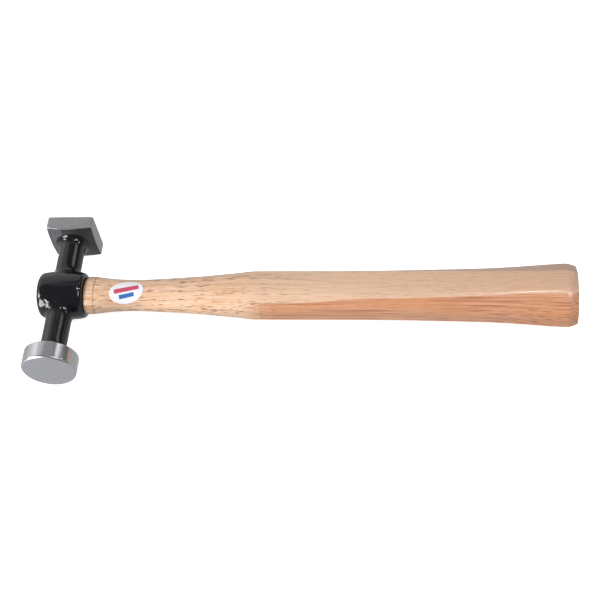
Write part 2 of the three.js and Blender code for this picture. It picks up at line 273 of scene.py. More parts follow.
# %% Ground steel
def ground_steel(name, colour, rough, scratches, depth, vary=0.2):
    material, tree, bsdf = new_material(name)
    bsdf.inputs["Metallic"].default_value = 1.0
    lines = noise(tree, scratches, detail=3.0, roughness=0.6).outputs["Fac"]
    clouds = noise(tree, (90, 90, 90), detail=2.0).outputs["Fac"]
    dark = tuple(c * (1 - vary) for c in colour)
    bright = tuple(min(1.0, c * (1 + vary / 2)) for c in colour)
    tint = mix_colour(tree, remap(tree, lines, 0.3, 0.7), dark, bright)
    tint = mix_colour(tree, remap(tree, clouds, 0.35, 0.75, 0.0, 0.25), tint, dark)
    tree.links.new(tint, bsdf.inputs["Base Color"])
    tree.links.new(remap(tree, lines, 0.25, 0.75, rough - vary / 4, rough + vary / 3),
                   bsdf.inputs["Roughness"])
    tree.links.new(bump(tree, lines, depth), bsdf.inputs["Normal"])
    return material


rim_steel = ground_steel("turned_rim_steel", (0.54, 0.54, 0.555), rough=0.22,
                         scratches=(40, 2500, 40), depth=0.0000012, vary=0.08)
side_steel = ground_steel("ground_side_steel", (0.40, 0.40, 0.41), rough=0.38,
                          scratches=(120, 2600, 2600), depth=0.00001)
face_steel = ground_steel("polished_face_steel", (0.60, 0.60, 0.63), rough=0.36,
                          scratches=(900, 900, 900), depth=0.000002, vary=0.1)

# %% [markdown]
# The sloping back of the square face is ground steel all over, and one half of it mirrors something
# dark. That dark reflection is painted in: the mask turns that half into a dull, dark surface that
# is not metal, with a ragged line between. One Principled shader does both: a mask drives its
# colour, its metallic and its roughness, so that the two meet in one surface. The mask is the
# place along X, with noise added to it, so that the line wanders.

# %% Ground back with a painted dark reflection
back_finish, tree, bsdf = new_material("ground_back_with_painted_dark_half")
ragged = noise(tree, (260, 260, 260), detail=3.0).outputs["Fac"]
wander_mm, dark_from, bare_from = 5.0, -2.4, -4.4
edge = maths(tree, "ADD", places_in_mm(tree)["X"], maths(tree, "MULTIPLY", ragged, wander_mm))
bare = remap(tree, edge, dark_from, bare_from)
grinding_angle = math.radians(-35)
along_belt = node(tree, "Mapping", {"Vector": centred(tree, (1, 1, 1)),
                                    "Rotation": (0, grinding_angle, 0),
                                    "Scale": (2600, 200, 160)}).outputs[0]
streaks = node(tree, "TexNoise", {"Vector": along_belt, "Scale": 1.0,
                                  "Detail": 2.0}).outputs["Fac"]
# The dull dark colour is a painted dark reflection on the bare steel, not a coat of paint.
dark_metal, bright_metal, painted_dark_reflection = (0.13, 0.13, 0.135), (0.25, 0.25, 0.26), (0.03, 0.03, 0.032)
metal = mix_colour(tree, remap(tree, streaks, 0.35, 0.65), dark_metal, bright_metal)
tree.links.new(mix_colour(tree, bare, painted_dark_reflection, metal), bsdf.inputs["Base Color"])
tree.links.new(bare, bsdf.inputs["Metallic"])
tree.links.new(remap(tree, bare, 0, 1, 0.34, 0.42), bsdf.inputs["Roughness"])
tree.links.new(bump(tree, streaks, 0.00002), bsdf.inputs["Normal"])

# %% [markdown]
# The head's middle is a short barrel round the handle's axis. A 32-sided ring is carried through
# the inside of the eye, over its back end, along the outside and over its front end, and joined to
# where it began, which makes a closed ring-shaped wall. Low-polygon rings under a subdivision
# modifier give the soft, slightly uneven swell of a forging. Rings set close together hold an edge.

# %% Barrel profile
sides = 32
swell, swell_x, half_barrel = 15.65, 1.2, 12.5
end_radius = 14.7
eye_front, eye_back = -13.9, 15.2


def turn_of(k):
    return 2 * math.pi * k / sides


def barrel_radius(x):
    u = (x - swell_x) / half_barrel
    return swell - (swell - end_radius) * min(1.0, u * u)


def oval_ring(x, half_y, half_z):
    return lambda k: Vector((x, half_y * math.cos(turn_of(k)), half_z * math.sin(turn_of(k))))


def round_ring(x, radius):
    return oval_ring(x, radius, radius)


patch_half, patch_step = 10.4, 2.6
patch_rows = [-patch_half + patch_step * i for i in range(9)]
outside = [(14.9, 13.3), (14.2, 14.2), (13.3, 14.6)]
outside += [(x, barrel_radius(x)) for x in reversed(patch_rows)]
outside += [(-11.9, 14.45), (-13.0, 13.85), (-13.7, 12.75), (-13.9, 12.0)]
print("barrel rings:", len(outside))

# %% Barrel
head = new_mesh()
ring = first_ring(head, sides, oval_ring(eye_front, 11.7, 9.1))
start = ring
for section in (oval_ring(-13.7, 11.45, 8.85), oval_ring(-12.0, 11.4, 8.8),
                oval_ring(0.0, 10.95, 8.35), oval_ring(14.0, 10.5, 7.9),
                oval_ring(15.0, 10.55, 7.95), oval_ring(eye_back, 10.8, 8.2),
                round_ring(eye_back, 12.7)):
    ring = next_ring(head, ring, section)
for x, radius in outside:
    ring = next_ring(head, ring, round_ring(x, radius))
bmesh.ops.bridge_loops(head, edges=ring + start)
print("barrel faces:", len(head.faces))

# %% [markdown]
# Each shank grows out of the barrel. A square patch, eight faces by eight, is cut out of the wall,
# and its 32 boundary edges are bridged to a 32-sided ring that lies on the barrel. From there the
# rings lift off in a flare and run up the shank. The rings near the barrel follow its curve, and
# straighten as they climb, as the metal does where two round bars are forged into one.

# %% Cut a patch for each shank
mid_wall = 12.6  # between the eye and the outside, so only the outer skin is cut


def cut_patch(side):
    def inside(face):
        c = face.calc_center_median()
        outer = c.y ** 2 + c.z ** 2 > mid_wall ** 2
        return side * c.y > abs(c.z) and outer and abs(c.x) < patch_half

    bmesh.ops.delete(head, geom=[f for f in head.faces if inside(f)], context="FACES")
    return [e for e in head.edges if e.is_boundary and side * e.verts[0].co.y > 0]


def turned_ring(radius, y):
    return lambda k: Vector((radius * math.cos(turn_of(k)), y, radius * math.sin(turn_of(k))))


def flare_ring(side, radius, lift, level=0.0):
    """A ring that follows the barrel at a height above it; level straightens it."""
    def section(k):
        x = radius * math.cos(turn_of(k))
        z = radius * math.sin(turn_of(k))
        follows = math.sqrt(barrel_radius(x) ** 2 - z * z)
        y = follows * (1 - level) + swell * level + lift
        return Vector((x, side * y, z))
    return section

# %% [markdown]
# The flare is four rings above the one that lies on the barrel. Each is a radius, a height over the
# barrel, and how far it has straightened. The steps grow as it climbs, which gives a tight fillet
# at the foot.

# %% Flares
flare_foot = 9.75
flare = [(9.25, 0.22, 0.0), (8.8, 0.75, 0.08), (8.4, 1.7, 0.25), (8.2, 3.2, 0.6)]


def grow_flare(side):
    boundary = cut_patch(side)
    ring = first_ring(head, sides, flare_ring(side, flare_foot, 0.0))
    bmesh.ops.bridge_loops(head, edges=boundary + ring)
    for radius, lift, level in flare:
        ring = next_ring(head, ring, flare_ring(side, radius, lift, level))
    print("side", side, "boundary edges:", len(boundary))
    return ring


round_ring_edges = grow_flare(-1)
square_ring_edges = grow_flare(1)

# %% [markdown]
# The round face is turned, so its shank, the fillet under it, the sloping back, the rim and the
# bevel are a list of radius and distance pairs. Two rings stand close together at each edge that a
# lathe leaves crisp. Subdividing draws a ring of straight edges in from the circle that its
# vertices lie on, so each ring is drawn larger by just that much, and the rim comes out at its
# real size.

# %% Round face
shank_radius = 8.13
round_profile = [
    (shank_radius, -21.0), (shank_radius, -30.0), (shank_radius, -37.2), (8.2, -39.0),
    (8.7, -40.7), (9.7, -42.1), (11.2, -42.95), (13.6, -43.6),
]
for draw_in, y in ((0.7, -44.2), (0.25, -44.35), (0.0, -44.7), (0.0, -45.3), (0.0, -50.0),
                   (0.0, -54.5), (0.02, -54.95), (0.2, -55.25), (0.75, -55.75), (1.0, -55.88),
                   (1.4, round_face_y), (7.7, round_face_y)):
    round_profile.append((round_face_radius - draw_in, y))
swell_back = 1.0 / (1 - (1 - math.cos(turn_of(1))) / 3)
ring = round_ring_edges
for radius, y in round_profile:
    ring = next_ring(head, ring, turned_ring(radius * swell_back, y))
close_ring(head, ring)
print("a turned ring is drawn", round(swell_back, 5), "times larger, which subdividing takes back")

# %% [markdown]
# The square face starts as the same turned shape and is then ground square, so its back is a cone
# and the cone's edge dips in the middle of each side. The rings change from round to square on the
# way out. On a square ring the vertices crowd towards the corners, which keeps the corners sharp.

# %% A ring that is square
half_width = 15.0
crowding = [-1.0, -0.962, -0.82, -0.42, 0.0, 0.42, 0.82, 0.962]
per_side = len(crowding)
corner_pull = 0.985  # takes the point off each corner
rim_at_corner, back_slope = 8.7, 0.25


def square_point(k, half):
    """Vertex k of the square: its place on one side, and a quarter turn for each side before."""
    side, step = divmod((k + per_side // 2) % sides, per_side)
    x, z = half, crowding[step] * half
    if step == 0:
        x, z = half * corner_pull, -half * corner_pull
    for _ in range(side):
        x, z = -z, x
    return x, z


def cone_y(radius):
    corner_y = square_face_y - rim_at_corner
    return corner_y - back_slope * (half_width * math.sqrt(2) - radius)


def square_ring(half, y=None, rise=0.0, roundness=0.0):
    """A ring at y, or on the cone and raised by rise; roundness 1 makes it a circle."""
    def section(k):
        x, z = square_point(k, half)
        angle = turn_of(k)
        x += (half * math.cos(angle) - x) * roundness
        z += (half * math.sin(angle) - z) * roundness
        height = cone_y(math.hypot(x, z)) + rise if y is None else y
        return Vector((x, height, z))
    return section


print("the back of the square is at", round(cone_y(half_width), 2), "in the middle of a side")

# %% [markdown]
# The rings then run up the shank, round the fillet, out over the cone to the square edge, up the
# sides, over a small bevel and in across the face, where one last face closes the head.

# %% Square face
ring = square_ring_edges
for radius, y in ((shank_radius, 21.0), (shank_radius, 29.0), (shank_radius, 34.8),
                  (8.25, 36.6), (8.75, 38.2), (9.7, 39.3), (11.1, 40.1)):
    ring = next_ring(head, ring, turned_ring(radius * swell_back, y))
for section in (square_ring(12.6, roundness=0.75), square_ring(14.35, roundness=0.08),
                square_ring(14.8, rise=0.04), square_ring(half_width, rise=0.3),
                square_ring(half_width, rise=0.9), square_ring(half_width, square_face_y - 4.0),
                square_ring(half_width, square_face_y - 0.9),
                square_ring(half_width, square_face_y - 0.45),
                square_ring(half_width - 0.35, square_face_y - 0.06),
                square_ring(half_width - 0.8, square_face_y),
                square_ring(half_width * 0.6, square_face_y, roundness=0.5)):
    ring = next_ring(head, ring, section)
close_ring(head, ring)
print("head faces:", len(head.faces))

# %% [markdown]
# The real head is painted whole and then ground where it works, so paint and bare steel meet in
# one surface. Each face of the mesh gets the number of its finish from where its middle lies. The
# round face's bevel is polished with the face, and the square's bevel is ground with its sides.

# %% Which faces of the head are paint and which are ground
head_finishes = [paint, rim_steel, side_steel, face_steel, back_finish]
PAINT, RIM, SIDE, FACE, BACK = range(len(head_finishes))
rim_starts_y, rim_inner_radius, round_bevel = -44.3, 14.0, 0.75
back_starts_y, back_inner_radius, square_bevel = 39.6, 11.5, 1.0
side_depth, face_depth = 0.25, 0.02


def finish_of(face):
    c = face.calc_center_median()
    radius = math.hypot(c.x, c.z)
    if c.y < round_face_y + round_bevel or c.y > square_face_y - face_depth:
        return FACE
    if c.y < rim_starts_y:
        return RIM if radius > rim_inner_radius else PAINT
    if c.y > back_starts_y and radius > back_inner_radius:
        on_side = max(abs(c.x), abs(c.z)) > half_width - side_depth
        return SIDE if on_side or c.y > square_face_y - square_bevel else BACK
    return PAINT


for face in head.faces:
    face.material_index = finish_of(face)
print("ground faces:", sum(face.material_index != PAINT for face in head.faces))
head_piece = finish_piece(head, "forged_head", head_finishes, levels=2)
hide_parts("hammer_head")

# %% [markdown]
# Hickory is pale and ring-porous: long streaks of darker late wood follow the handle, and the open
# pores between them show as short brown dashes. The flats are sawn across the rings and look pale
# and dashed, while the sides are sawn along them and look warmer and streaked. The sides and
# chamfers are painted darker and more saturated still, and that part is painted shade. The flats
# are painted darker towards the butt, as a painted fall-off of the light along the handle. The
# growth rings are bands across the handle, tilted and made to wander, and a face attribute called
# tone says which faces are flats and which are sides.

# %% Hickory: growth rings
hickory, tree, bsdf = new_material("lacquered_hickory")
tone = node(tree, "Attribute", attribute_name="tone").outputs["Fac"]
place = places_in_mm(tree)
wander = noise(tree, (9, 30, 30), detail=1.0).outputs["Fac"]
ring_tilt, ring_wander = 0.55, 9.0
tilted = maths(tree, "ADD", maths(tree, "MULTIPLY", place["Y"], ring_tilt), place["Z"])
depth = maths(tree, "ADD", tilted, maths(tree, "MULTIPLY", wander, ring_wander))
rings = node(tree, "TexNoise", {"W": depth, "Scale": 0.8, "Detail": 3.0, "Roughness": 0.6},
             noise_dimensions="1D").outputs["Fac"]
late = remap(tree, rings, 0.45, 0.75)
# The flats are painted darker towards the butt: a painted fall-off of the light along the handle.
painted_fade_to_butt = remap(tree, place["X"], 90.0, 320.0)
flat_wood = mix_colour(tree, painted_fade_to_butt, (0.90, 0.645, 0.45), (0.74, 0.475, 0.32))
flat_wood = mix_colour(tree, maths(tree, "MULTIPLY", late, 0.45), flat_wood, (0.70, 0.43, 0.27))
# The colour of the sides is partly the grain's and partly painted shade, darker and more saturated
# than the flats.
side_grain_and_shade = mix_colour(tree, late, (0.72, 0.335, 0.175), (0.50, 0.20, 0.09))
wood = mix_colour(tree, tone, flat_wood, side_grain_and_shade)

# %% [markdown]
# Over the rings go five finer patterns, each a noise drawn out along the handle: pale brown fibres,
# pinkish patches, golden streaks, the pores' dashes, and long dark lines that only the sides have.
# The streaks and dashes are strongest near the head. The dashes also come in rows, as pores do, so
# their noise is multiplied by a wider one.

# %% Hickory: fibres, streaks and pores
fibres = noise(tree, (22, 1500, 1500), detail=4.0, roughness=0.65).outputs["Fac"]
patches = noise(tree, (25, 60, 60), detail=1.0).outputs["Fac"]
streaks = noise(tree, (24, 800, 800), detail=2.0).outputs["Fac"]
pores = noise(tree, (150, 1500, 1500), detail=1.0).outputs["Fac"]
rows = noise(tree, (14, 420, 420), detail=1.0).outputs["Fac"]
threads = noise(tree, (13, 1500, 1500), detail=2.0).outputs["Fac"]
wood = mix_colour(tree, remap(tree, fibres, 0.45, 0.75, 0.0, 0.4), wood, (0.46, 0.22, 0.12))
wood = mix_colour(tree, remap(tree, patches, 0.4, 0.7, 0.0, 0.25), wood, (0.80, 0.50, 0.38))
near_head = remap(tree, place["X"], 95.0, 165.0, 1.0, 0.25)
golden = maths(tree, "MULTIPLY", remap(tree, streaks, 0.42, 0.66, 0.0, 0.75), near_head)
wood = mix_colour(tree, golden, wood, (0.74, 0.40, 0.20))
dashes = maths(tree, "MULTIPLY", remap(tree, pores, 0.55, 0.63),
               remap(tree, rows, 0.42, 0.56, 0.2, 1.0))
dashes = maths(tree, "MULTIPLY", dashes, near_head)
wood = mix_colour(tree, dashes, wood, (0.33, 0.14, 0.07))
long_lines = maths(tree, "MULTIPLY", remap(tree, threads, 0.52, 0.66, 0.0, 0.85), tone)
wood = mix_colour(tree, long_lines, wood, (0.34, 0.115, 0.05))

# %% [markdown]
# A broken dark line is painted round the neck just outside the eye, as a dark stripe in the colour
# broken up by noise. The clear lacquer over everything is the shader's coat, and it lies a little
# unevenly over the fibres and pores, which are a bump.

# %% Hickory: dark line and lacquer
dark_line_x, dark_line_core, dark_line_reach = 21.9, 0.2, 0.6
from_dark_line = maths(tree, "ABSOLUTE", maths(tree, "SUBTRACT", place["X"], dark_line_x))
broken = noise(tree, (900, 900, 900), detail=1.0).outputs["Fac"]
dark_line = maths(tree, "MULTIPLY", remap(tree, from_dark_line, dark_line_reach, dark_line_core),
              remap(tree, broken, 0.35, 0.6, 0.15, 0.9))
wood = mix_colour(tree, dark_line, wood, (0.33, 0.17, 0.09))
tree.links.new(wood, bsdf.inputs["Base Color"])
tree.links.new(remap(tree, fibres, 0.3, 0.7, 0.36, 0.50), bsdf.inputs["Roughness"])
bsdf.inputs["Coat Weight"].default_value = 0.5
bsdf.inputs["Coat Roughness"].default_value = 0.14
tree.links.new(bump(tree, fibres, 0.00004, under=bump(tree, pores, 0.00003)),
               bsdf.inputs["Normal"])
print("hickory nodes:", len(tree.nodes))

# %% [markdown]
# Across its end the same wood shows end grain: the growth rings as arcs, and the pores as dots. End
# grain soaks up lacquer, so it is darker and duller than the sides.

# %% End grain
end_grain, tree, bsdf = new_material("hickory_end_grain")
place = places_in_mm(tree)
on_end = node(tree, "CombineXYZ", {X: 0.0, Y: place["Y"], Z: place["Z"]}).outputs[0]
tree_heart = (0, -38.0, -62.0)  # where the growth rings would have their middle
from_heart = node(tree, "VectorMath", {0: on_end, 1: tree_heart},
                  operation="DISTANCE").outputs["Value"]
arcs = node(tree, "TexNoise", {"W": from_heart, "Scale": 0.9, "Detail": 2.0},
            noise_dimensions="1D").outputs["Fac"]
dots = noise(tree, (1400, 1400, 1400), detail=1.0).outputs["Fac"]
grain = mix_colour(tree, remap(tree, arcs, 0.35, 0.65), (0.52, 0.29, 0.16), (0.33, 0.165, 0.085))
grain = mix_colour(tree, remap(tree, dots, 0.58, 0.66, 0.0, 0.6), grain, (0.15, 0.07, 0.035))
tree.links.new(grain, bsdf.inputs["Base Color"])
bsdf.inputs["Roughness"].default_value = 0.6
tree.links.new(bump(tree, dots, 0.00004), bsdf.inputs["Normal"])

# %% [markdown]
# The handle is one long loft. Its neck is oval, pinched in behind the head, and turns into a grip
# with eight sides: two crowned flats, four chamfers and two narrow sides, all swelling towards the
# butt. Tables give the section at stations, and a smooth curve that never overshoots joins them.

# %% Handle stations
shoulder_x = 15.5
neck_end_x, grip_start_x = 112.0, 126.0
neck_stations = [  # x, half height in Y, half thickness in Z, squareness
    (shoulder_x, 12.2, 9.8, 2.0), (18, 12.7, 10.2, 2.0), (23, 12.4, 9.9, 2.0),
    (28, 11.7, 9.4, 2.0), (35, 11.0, 8.8, 2.0), (47, 10.5, 8.4, 2.0), (62, 11.1, 8.8, 2.05),
    (86, 12.3, 9.8, 2.2), (neck_end_x, 14.4, 11.1, 2.45), (grip_start_x, 15.4, 11.5, 2.6)]
grip_stations = [  # x, crown, ridge y, ridge z, side y, side z
    (neck_end_x, 11.4, 12.6, 8.4, 14.9, 5.0), (150, 11.4, 12.5, 8.6, 14.9, 5.1),
    (188, 11.8, 10.4, 11.0, 14.8, 5.2), (230, 12.6, 9.8, 11.9, 15.5, 5.2),
    (270, 13.7, 8.8, 13.3, 16.6, 5.3), (300, 15.0, 8.1, 14.6, 18.8, 5.4),
    (312, 15.4, 8.0, 15.0, 19.8, 5.5), (butt_x, 15.4, 8.0, 15.0, 19.8, 5.5)]


def gentle(a, b):
    return 2 * a * b / (a + b) if a * b > 0 else 0.0


def slope(a, b, k):
    return (b[k] - a[k]) / (b[0] - a[0]) if b[0] != a[0] else 0.0


def between(stations, x):
    """The values at x on a smooth curve through the stations."""
    x = min(max(x, stations[0][0]), stations[-1][0])
    i = 0
    while i < len(stations) - 2 and x > stations[i + 1][0]:
        i += 1
    here, after = stations[i], stations[i + 1]
    before, beyond = stations[max(i - 1, 0)], stations[min(i + 2, len(stations) - 1)]
    span = after[0] - here[0]
    t = (x - here[0]) / span
    values = []
    for k in range(1, len(here)):
        chord = slope(here, after, k)
        into = gentle(slope(before, here, k), chord)
        out = gentle(chord, slope(after, beyond, k))
        values.append(here[k] * (1 + 2 * t) * (1 - t) ** 2 + after[k] * t * t * (3 - 2 * t)
                      + span * (into * t * (1 - t) ** 2 - out * t * t * (1 - t)))
    return values


print("grip at its start and its end:", between(grip_stations, neck_end_x),
      between(grip_stations, butt_x))

# %% [markdown]
# A section is drawn a quarter at a time. A turn within the quarter runs from 0 at the side to 1 at
# the crown, with a ridge at 0.2 and another at 0.6, and a vertex close on each side of a ridge
# keeps it narrow. The other quarters are mirrored from the first. A mirrored quarter numbered
# backwards would put the vertex of a ridge where its neighbour should be, so the two backward
# quarters are read from their far end.

# %% Handle section
low_ridge, high_ridge = 0.2, 0.6
quarter = [0.0, 0.1, 0.175, low_ridge, 0.225, 0.4, 0.575, high_ridge, 0.63, 0.72, 0.86]
handle_sides = 4 * len(quarter)


def quarter_turn(k):
    """Where vertex k is: its turn from the side, the sign of y and the sign of z."""
    q, step = divmod(k % handle_sides, len(quarter))
    forward = quarter[step]
    backward = 1.0 - forward
    return [(forward, 1, 1), (backward, -1, 1), (forward, -1, -1), (backward, 1, -1)][q]


print("vertices round the handle:", handle_sides)

# %% [markdown]
# Each part of the handle has its own section. The tenon is an oval that is a little wider at the
# far end of the eye, where the wedges spread it. The neck is an oval that grows squarer. The grip
# has straight sides and chamfers between its ridges, and a crowned flat. Where the neck ends, its
# section is mixed into the grip's.

# %% Section points
def neck_point(values, angle):
    half_y, half_z, squareness = values
    c, s = abs(math.cos(angle)), abs(math.sin(angle))
    return half_y * c ** (2 / squareness), half_z * s ** (2 / squareness)


def grip_point(values, t):
    crown, ridge_y, ridge_z, side_y, side_z = values
    if t <= low_ridge:
        return side_y, side_z * t / low_ridge
    if t <= high_ridge:
        u = (t - low_ridge) / (high_ridge - low_ridge)
        return side_y + (ridge_y - side_y) * u, side_z + (ridge_z - side_z) * u
    y = ridge_y * (1 - (t - high_ridge) / (1 - high_ridge))
    return y, crown - (crown - ridge_z) * (y / ridge_y) ** 2


tenon_half_y, tenon_half_z, tenon_flare = 10.2, 7.6, 1.1
OVAL = 2  # the squareness of a plain oval


def handle_point(x, t):
    """One point of the section at x, at turn t of its quarter."""
    if x < shoulder_x:
        wider = tenon_flare * (eye_back - x) / (eye_back - eye_front)
        tenon = (tenon_half_y + wider, tenon_half_z + wider, OVAL)
        return neck_point(tenon, t * math.pi / 2)
    neck = neck_point(between(neck_stations, x), t * math.pi / 2)
    if x <= neck_end_x:
        return neck
    grip = grip_point(between(grip_stations, x), t)
    u = min(1.0, (x - neck_end_x) / (grip_start_x - neck_end_x))
    u = u * u * (3 - 2 * u)
    return tuple(n + (g - n) * u for n, g in zip(neck, grip))

# %% [markdown]
# The rings then run along the handle: over the tenon's end, through the eye, out over the square
# shoulder, down the neck and along the grip, closer together where the shape changes. The butt is
# rounded over by drawing its last rings in along an arc. The tenon stops a little short of its CAD
# length, so the ends of the wedges, which keep their CAD shapes, stand just proud of the wood.

# %% Handle rings
tenon_end = tenon_x + 0.35
butt_round = 7.0
butt_arc = [(0.0, 0.0), (0.2, 0.08), (0.35, 0.3), (0.6, 0.85), (0.8, 1.4), (0.93, 1.8),
            (0.985, 2.0), (1.0, 2.15), (1.0, 2.7)]  # share of the round, how far it is drawn in


def handle_ring(x, inset=0.0):
    def section(k):
        t, sign_y, sign_z = quarter_turn(k)
        y, z = handle_point(x, t)
        size = math.hypot(y, z)
        return Vector((x, sign_y * y * (1 - inset / size), sign_z * z * (1 - inset / size)))
    return section


def spread(start, end, count):
    return [start + (end - start) * i / count for i in range(count)]


tenon_rings = [tenon_end + 0.05, tenon_end + 0.7, 0.0, 14.6, 15.3]
shoulder_rings = [(shoulder_x, 0.4), (shoulder_x + 0.1, 0.1), (shoulder_x + 0.5, 0.0)]
neck_rings = [17.0, 18.5, 20.2] + spread(22.0, 62.0, 8) + spread(62.0, neck_end_x, 7)
grip_rings = spread(neck_end_x, grip_start_x, 5)
grip_rings += spread(grip_start_x, butt_x - butt_round, 20)
butt_rings = [(butt_x - butt_round * (1 - u), inset) for u, inset in butt_arc]
handle_rings = [(tenon_end, 0.3)] + [(x, 0.0) for x in tenon_rings] + shoulder_rings
handle_rings += [(x, 0.0) for x in neck_rings + grip_rings] + butt_rings

handle = new_mesh()
ring = tenon_ring = first_ring(handle, handle_sides, handle_ring(tenon_end, 4.0))
tone_layer = handle.faces.layers.float.new("tone")
for x, inset in handle_rings:
    ring = next_ring(handle, ring, handle_ring(x, inset))
print("handle faces:", len(handle.faces))

# %% [markdown]
# The grip's sides and chamfers get their warmer, darker tone here, face by face. It is partly the
# grain's colour and partly painted shade: it comes in over a short length past the neck, and stops
# at the ridges, where the facets turn. The chamfers on the square face's side get a smaller share
# and are paler, so the painted shade lies mostly on the round face's side. The tone is given to
# faces and not vertices, because a vertex on a ridge would blur it into the flat. The end of the
# butt takes the end grain.

# %% Close the ends and mark the warmer sides
warm_from, warm_over = neck_end_x + 6, 14
paler_share, side_half_z, ridge_width = 0.35, 5.2, 0.15
END_GRAIN, end_depth = 1, 0.05


# How much of the warm grain and painted shade each face gets; the square face's side gets less.
def tone_at(c):
    ridge_y = between(grip_stations, c.x)[1]
    if abs(c.y) <= ridge_y + ridge_width:
        return 0.0
    warmth = min(1.0, max(0.0, (c.x - warm_from) / warm_over))
    return warmth * paler_share if c.y > ridge_y and abs(c.z) > side_half_z else warmth


close_ring(handle, ring)
close_ring(handle, tenon_ring)
for face in handle.faces:
    c = face.calc_center_median()
    if c.x > neck_end_x and len(face.verts) == 4:
        face[tone_layer] = tone_at(c)
    if c.x > butt_x - end_depth:
        face.material_index = END_GRAIN
handle_piece = finish_piece(handle, "hickory_handle", [hickory, end_grain], levels=2)
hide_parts("handle")

# %% [markdown]
# The sticker is a thin oval of gloss paper wrapped round the neck. Its print is only two plain
# bands of colour. They are drawn on the flat paper, before it is wrapped, so the material reads an
# attribute that holds each vertex's flat place in millimetres. A band is a mask across times a mask
# along.

# %% Sticker print
sticker_paper, tree, bsdf = new_material("printed_sticker")
flat_place = node(tree, "Attribute", attribute_name="flat_place", attribute_type="GEOMETRY")
flat = node(tree, "SeparateXYZ", {0: flat_place.outputs["Vector"]}).outputs
ink_edge = 0.1


def stripe(place, centre, half):
    off = maths(tree, "ABSOLUTE", maths(tree, "SUBTRACT", place, centre))
    return remap(tree, off, half + ink_edge, half - ink_edge)


def band(centre_across, half_across, centre_along, half_along):
    return maths(tree, "MULTIPLY", stripe(flat["Y"], centre_across, half_across),
                 stripe(flat["X"], centre_along, half_along))


fade = noise(tree, (700, 700, 700), detail=2.0).outputs["Fac"]
paper = mix_colour(tree, remap(tree, fade, 0.3, 0.8, 0.0, 0.12), (0.88, 0.89, 0.93),
                   (0.74, 0.75, 0.82))
red, blue = (0.62, 0.07, 0.14), (0.04, 0.16, 0.46)
paper = mix_colour(tree, band(-1.6, 1.5, -0.3, 8.0), paper, red)
paper = mix_colour(tree, band(2.6, 1.35, 0.3, 4.8), paper, blue)
tree.links.new(paper, bsdf.inputs["Base Color"])
bsdf.inputs["Roughness"].default_value = 0.28
tree.links.new(bump(tree, fade, 0.00002), bsdf.inputs["Normal"])

# %% [markdown]
# A real sticker is cut flat and then pressed round the wood, so it bends and doesn't stretch. Here
# each point of the flat oval is walked round the neck's curve, in short steps, by the distance that
# it had on the flat sheet, and lifted off the wood by its height in the paper.

# %% Wrapping
label_x, label_turn, label_tilt = 42.9, math.radians(105), math.radians(-13)
label_half_length, label_half_width = 11.0, 7.7
walk_steps, small_turn = 24, 0.001


def neck_surface(x, angle):
    half_y, half_z, squareness = between(neck_stations, x)
    y, z = neck_point((half_y, half_z, squareness), angle)
    return Vector((x, math.copysign(y, math.cos(angle)), math.copysign(z, math.sin(angle))))


def wrapped(flat_x, flat_y, height):
    x = label_x + flat_x * math.cos(label_tilt) - flat_y * math.sin(label_tilt)
    walk = flat_x * math.sin(label_tilt) + flat_y * math.cos(label_tilt)
    angle = label_turn
    for _ in range(walk_steps):
        here = neck_surface(x, angle)
        speed = (neck_surface(x, angle + small_turn) - here).length / small_turn
        angle += walk / walk_steps / speed
    here = neck_surface(x, angle)
    ahead = (neck_surface(x, angle + small_turn) - here).normalized()
    return here + Vector((0, ahead.z, -ahead.y)) * height


print("the sticker's middle is at", wrapped(0.0, 0.0, 0.0))

# %% [markdown]
# The paper is one closed loft of ovals: out along its underside, round its cut edge, and in along
# its top. Each row is the oval's share of the full size and its height over the wood.

# %% Sticker
sticker = new_mesh()
flat_layer = sticker.verts.layers.float_vector.new("flat_place")
label_sides = 40
label_rows = [(0.3, 0.06), (0.6, 0.06), (0.85, 0.06), (0.985, 0.06), (1.0, 0.12), (0.995, 0.24),
              (0.97, 0.27), (0.85, 0.27), (0.6, 0.27), (0.3, 0.27)]


def flat_ring(size):
    def section(k):
        angle = 2 * math.pi * k / label_sides
        return Vector((-label_half_length * size * math.cos(angle),
                       label_half_width * size * math.sin(angle), 0))
    return section


first_size, first_height = label_rows[0]
ring = under_ring = first_ring(sticker, label_sides, flat_ring(first_size))
heights = {v: first_height for v in sticker.verts}
for size, height in label_rows[1:]:
    ring = next_ring(sticker, ring, flat_ring(size))
    for v in {v for e in ring for v in e.verts}:
        heights[v] = height
close_ring(sticker, under_ring)
close_ring(sticker, ring)
for v, height in heights.items():
    v[flat_layer] = v.co
    v.co = wrapped(-v.co.x, v.co.y, height)
sticker_piece = finish_piece(sticker, "oval_sticker", [sticker_paper], levels=1)
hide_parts("label")

# %% [markdown]
# The wedges are driven into the far end of the eye. Their CAD shapes are right as they stand, so
# they keep them and only take a finish: end grain for the wooden one, rolled steel for the others.

# %% Wedges
wedge_wood, tree, bsdf = new_material("wedge_end_grain")
end_rings = noise(tree, (40, 900, 900), detail=3.0).outputs["Fac"]
end_colour = mix_colour(tree, remap(tree, end_rings, 0.35, 0.65), (0.50, 0.28, 0.14),
                        (0.28, 0.14, 0.07))
tree.links.new(end_colour, bsdf.inputs["Base Color"])
bsdf.inputs["Roughness"].default_value = 0.6
tree.links.new(bump(tree, end_rings, 0.0001), bsdf.inputs["Normal"])
wedge_steel = ground_steel("rolled_wedge_steel", (0.42, 0.42, 0.43), rough=0.42,
                           scratches=(300, 2500, 2500), depth=0.00002)
for name in ("wood_wedge", "steel_wedge_1", "steel_wedge_2"):
    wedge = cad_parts[name]
    wedge.data.materials.clear()
    wedge.data.materials.append(wedge_wood if name == "wood_wedge" else wedge_steel)
    print(name, "keeps its CAD shape")

# %% [markdown]
# The floor is a light table: white, plain and lit a little from within, so the hammer lies in
# almost shadowless light. It is hidden from reflections and from bounced light, because so wide and
# bright a plane would turn the black paint grey.

